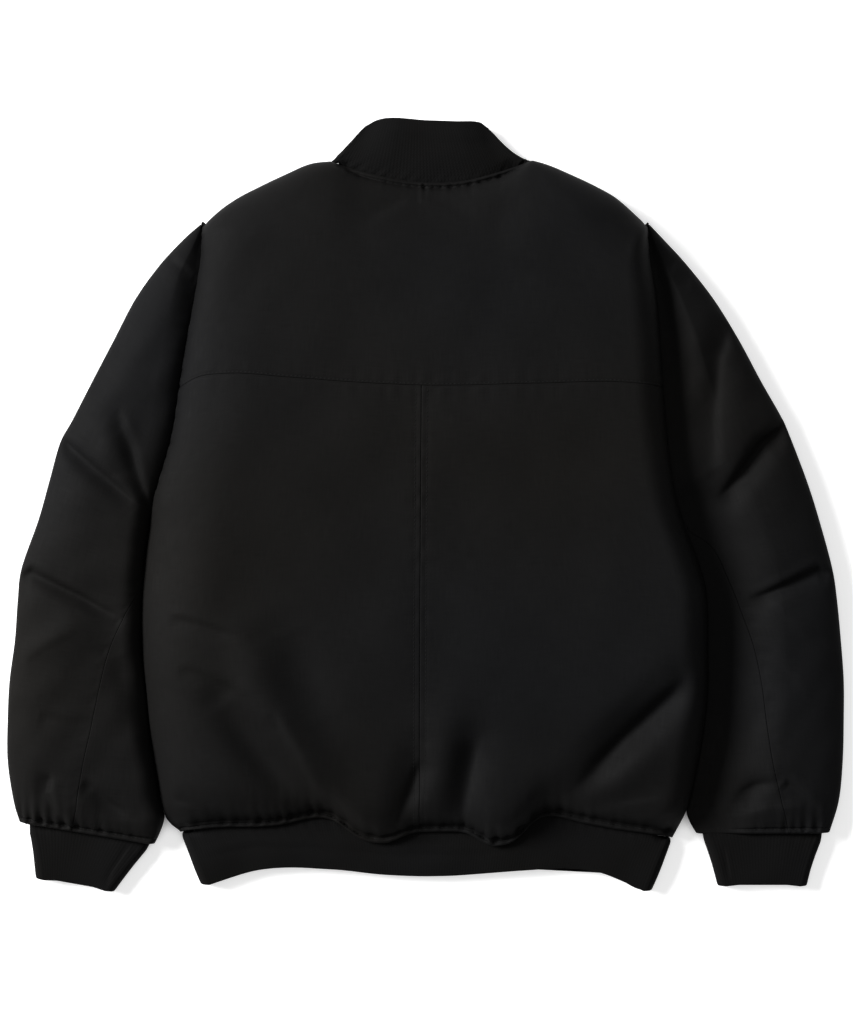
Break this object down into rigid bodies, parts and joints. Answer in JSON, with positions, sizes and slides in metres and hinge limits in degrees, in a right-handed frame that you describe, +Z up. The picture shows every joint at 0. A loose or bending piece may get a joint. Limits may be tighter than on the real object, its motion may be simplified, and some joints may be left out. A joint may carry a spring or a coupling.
{
  "type": "padded bomber jacket laid flat",
  "caption": "Black padded bomber jacket with rib-knit collar, cuffs and hem, laid flat face down with its sleeves beside the body.",
  "frame": {"origin": "centre of the bounding box on the surface that the jacket lies on", "axes": "+Z up, away from the surface; +Y from the hem towards the collar; +X towards the wearer's right sleeve, with the back of the jacket on top"},
  "size_m": [0.8705, 0.8038, 0.0669],
  "materials": {
    "padded_cloth": "smooth tight woven shell with a faint sheen",
    "rib_knit": "matt rib knit",
    "zip_tape": "woven tape with a moulded chain",
    "zip_metal": "dark enamelled metal"
  },
  "bodies": {
    "root": {"back_yoke": "padded_cloth", "back_left": "padded_cloth", "back_right": "padded_cloth", "front_left": "padded_cloth", "front_right": "padded_cloth", "sleeve_left_outer": "padded_cloth", "sleeve_left_under": "padded_cloth", "sleeve_right_outer": "padded_cloth", "sleeve_right_under": "padded_cloth", "collar_rib": "rib_knit", "cuff_left": "rib_knit", "cuff_right": "rib_knit", "hem_rib": "rib_knit", "zip": "zip_tape", "zip_slider": "zip_metal"}
  },
  "joints": []
}
